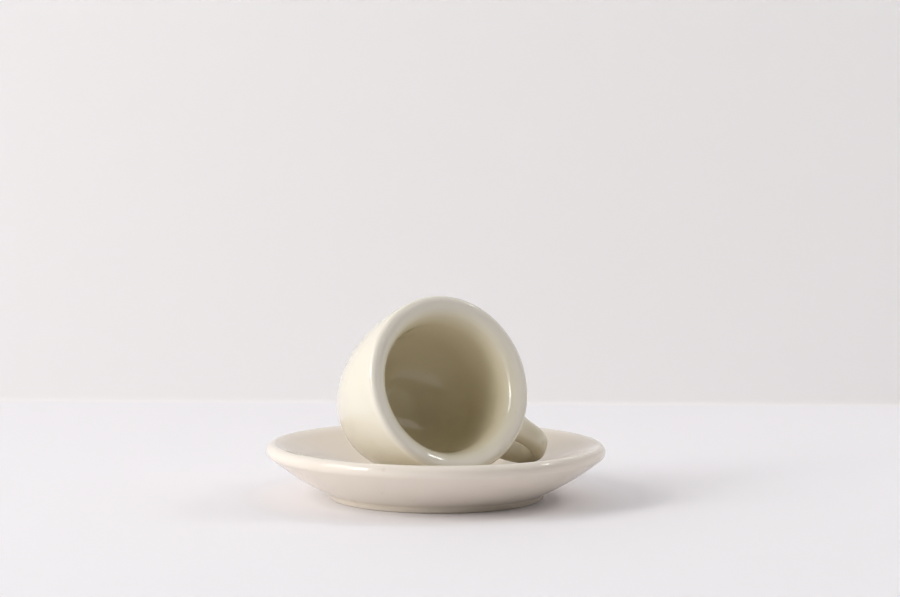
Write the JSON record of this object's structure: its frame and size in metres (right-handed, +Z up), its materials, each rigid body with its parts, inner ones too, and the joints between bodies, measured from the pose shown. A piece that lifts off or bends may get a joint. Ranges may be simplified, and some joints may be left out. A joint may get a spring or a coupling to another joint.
{
  "type": "espresso cup with saucer",
  "caption": "Thick-walled glazed espresso cup with a strap handle, lying on its side in its round saucer; the cup lifts off.",
  "frame": {"origin": "middle of the saucer's foot ring, on the surface that it stands on", "axes": "+Z up along the saucer's axis; the mouth of the lying cup faces -Y and its handle points to +X"},
  "size_m": [0.12, 0.12, 0.0733],
  "materials": {
    "saucer_glaze": "glossy clear glaze over a cream body",
    "cup_glaze": "glossy clear glaze over an ivory body"
  },
  "bodies": {
    "saucer": {"saucer": "saucer_glaze"},
    "cup": {"cup_body": "cup_glaze", "cup_handle": "cup_glaze"}
  },
  "joints": [
    {"name": "cup_lift", "type": "slide", "parent": "saucer", "child": "cup", "axis": [0, 0, 1], "range_m": [0, 0.08]}
  ]
}
